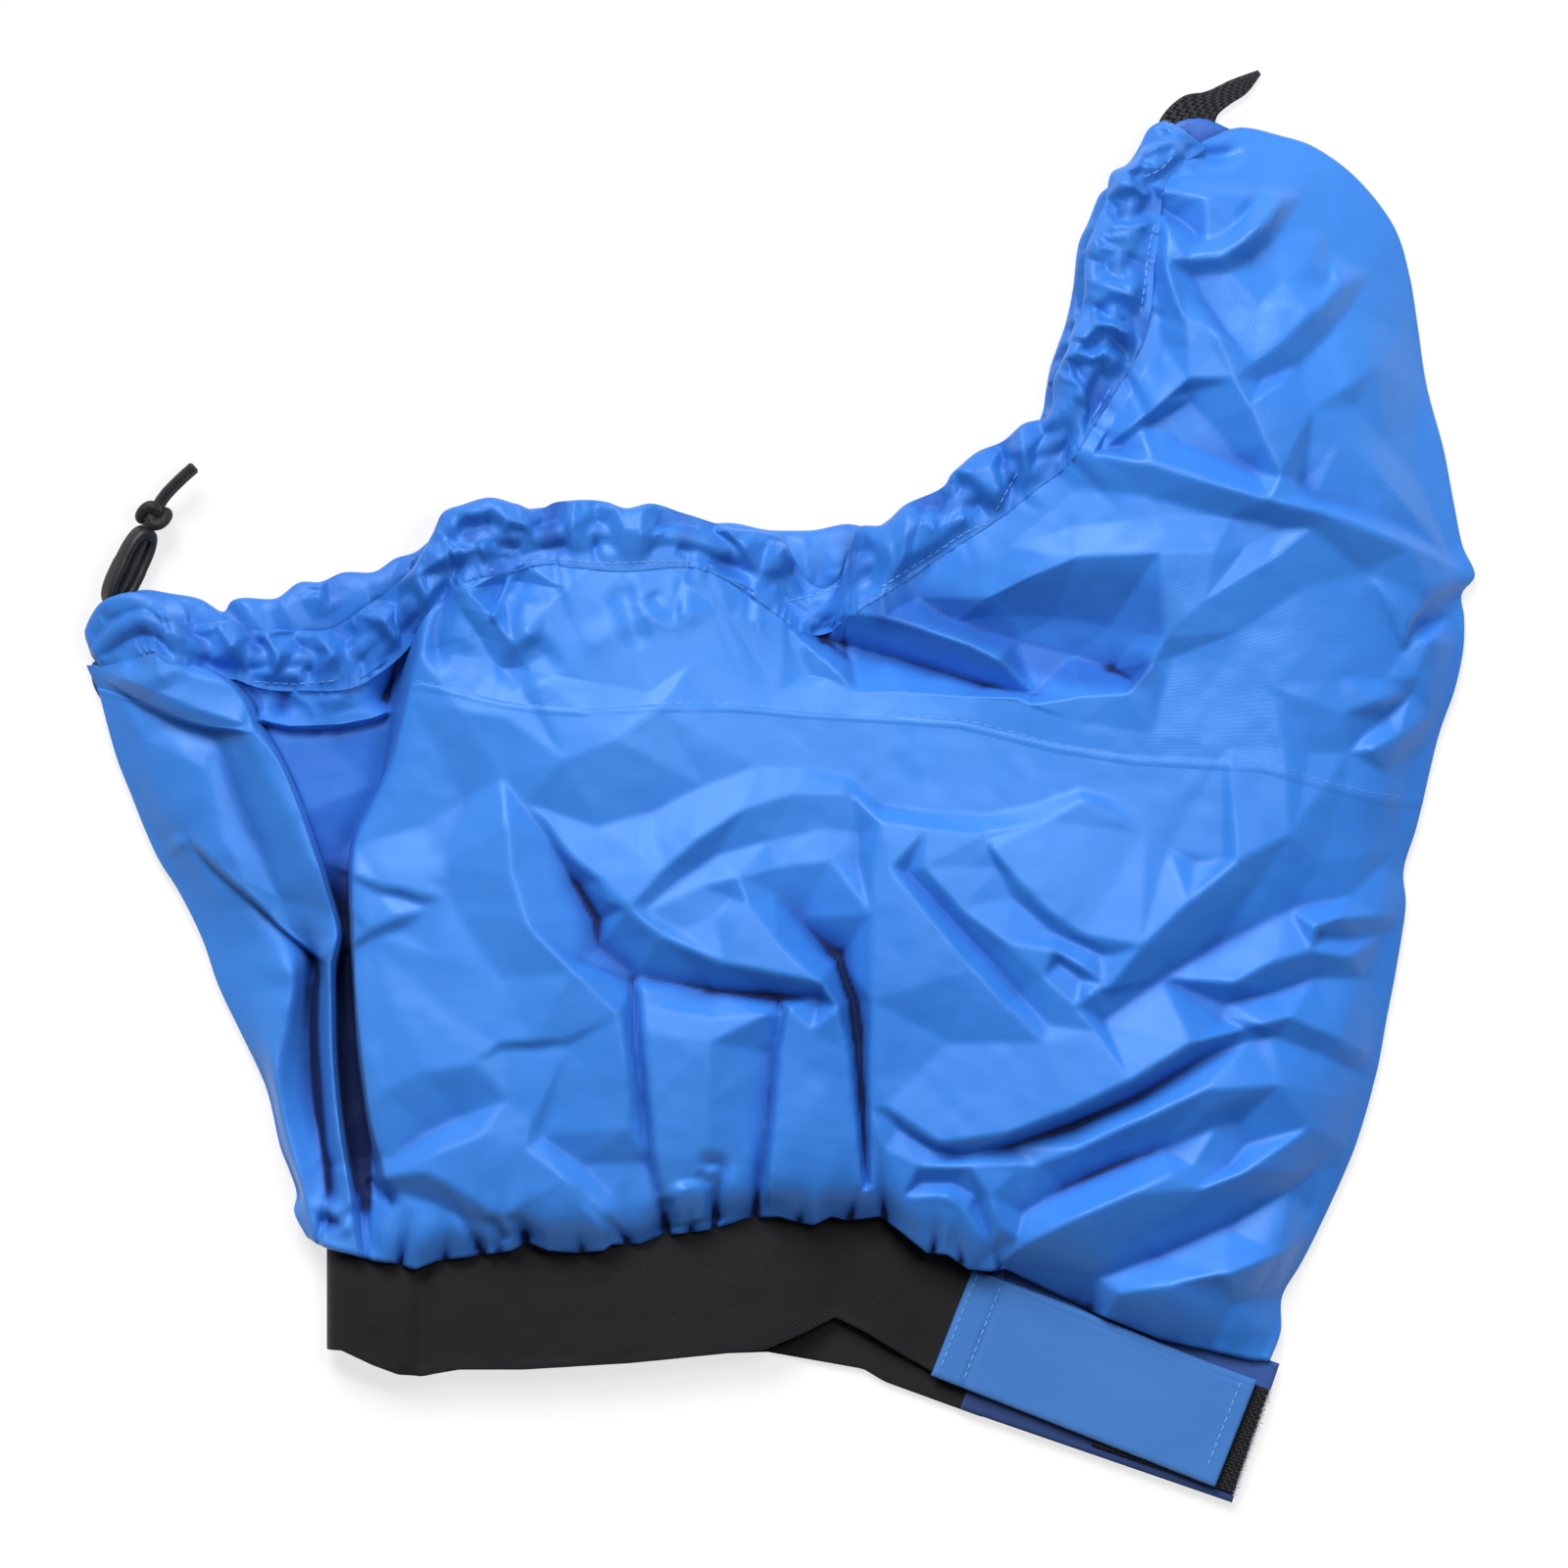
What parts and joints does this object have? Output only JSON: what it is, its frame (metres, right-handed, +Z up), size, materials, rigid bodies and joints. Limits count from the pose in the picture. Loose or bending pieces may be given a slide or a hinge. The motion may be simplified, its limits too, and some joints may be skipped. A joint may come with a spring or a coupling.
{
  "type": "kayak spray skirt",
  "caption": "Blue nylon kayak spray skirt laid flat, with a gathered elastic cockpit hem, a black waistband closed by a hook-and-loop tab, a bow grab strap and a cord ring.",
  "frame": {"origin": "centre of the laid skirt's outline, on the floor under it", "axes": "+Z up off the floor, +Y from the waistband towards the cockpit hem, +X from the stern tip towards the bow side"},
  "size_m": [0.6517, 0.6737, 0.0672],
  "materials": {
    "tunnel_nylon": "coated nylon, crisp satin",
    "tunnel_nylon_back": "coated nylon, crisp satin",
    "deck_nylon": "coated nylon, crisp satin",
    "deck_nylon_back": "coated nylon, crisp satin",
    "hem_nylon_front": "coated nylon, crisp satin",
    "hem_nylon_back": "coated nylon, crisp satin",
    "flap_nylon": "coated nylon, folded double",
    "tab_root_nylon": "coated nylon, folded double and stitched",
    "tab_nylon": "coated nylon, folded double and stitched",
    "shock_cord": "woven cover over rubber",
    "cord_end": "woven cover over rubber",
    "knot_cord": "woven cover over rubber",
    "waistband_neoprene": "matt elastic knit over neoprene",
    "hook_tape": "moulded hooks on woven tape",
    "loop_tape": "brushed loops on woven tape",
    "strap_root_webbing": "woven webbing",
    "strap_webbing": "woven webbing",
    "ring_plastic": "moulded, fine matt"
  },
  "bodies": {
    "skirt": {"tunnel_front": "tunnel_nylon", "tunnel_back": "tunnel_nylon_back", "deck_front": "deck_nylon", "deck_back": "deck_nylon_back", "hem_front": "hem_nylon_front", "hem_back": "hem_nylon_back", "rim_cord": "shock_cord", "waistband": "waistband_neoprene", "receiving_flap": "flap_nylon", "hook_tape": "hook_tape", "tab_root": "tab_root_nylon", "grab_strap_root": "strap_root_webbing", "cord_end": "cord_end", "stopper_knot": "knot_cord"},
    "tab": {"waist_tab": "tab_nylon", "loop_tape": "loop_tape"},
    "strap": {"grab_strap": "strap_webbing"},
    "ring": {"hook_ring": "ring_plastic"}
  },
  "joints": [
    {"name": "tab_peel", "type": "hinge", "parent": "skirt", "child": "tab", "pos_m": [0.10423, -0.23159, 0.01055], "axis": [-0.3665, -0.9304, 0], "range_deg": [0, 100]},
    {"name": "strap_lift", "type": "hinge", "parent": "skirt", "child": "strap", "pos_m": [0.192, 0.315, 0.00415], "axis": [1, 0, 0], "range_deg": [0, 90]},
    {"name": "ring_turn", "type": "hinge", "parent": "skirt", "child": "ring", "pos_m": [-0.31436, 0.08289, 0.01004], "axis": [0.4384, 0.8988, 0], "range_deg": [-90, 90]}
  ]
}
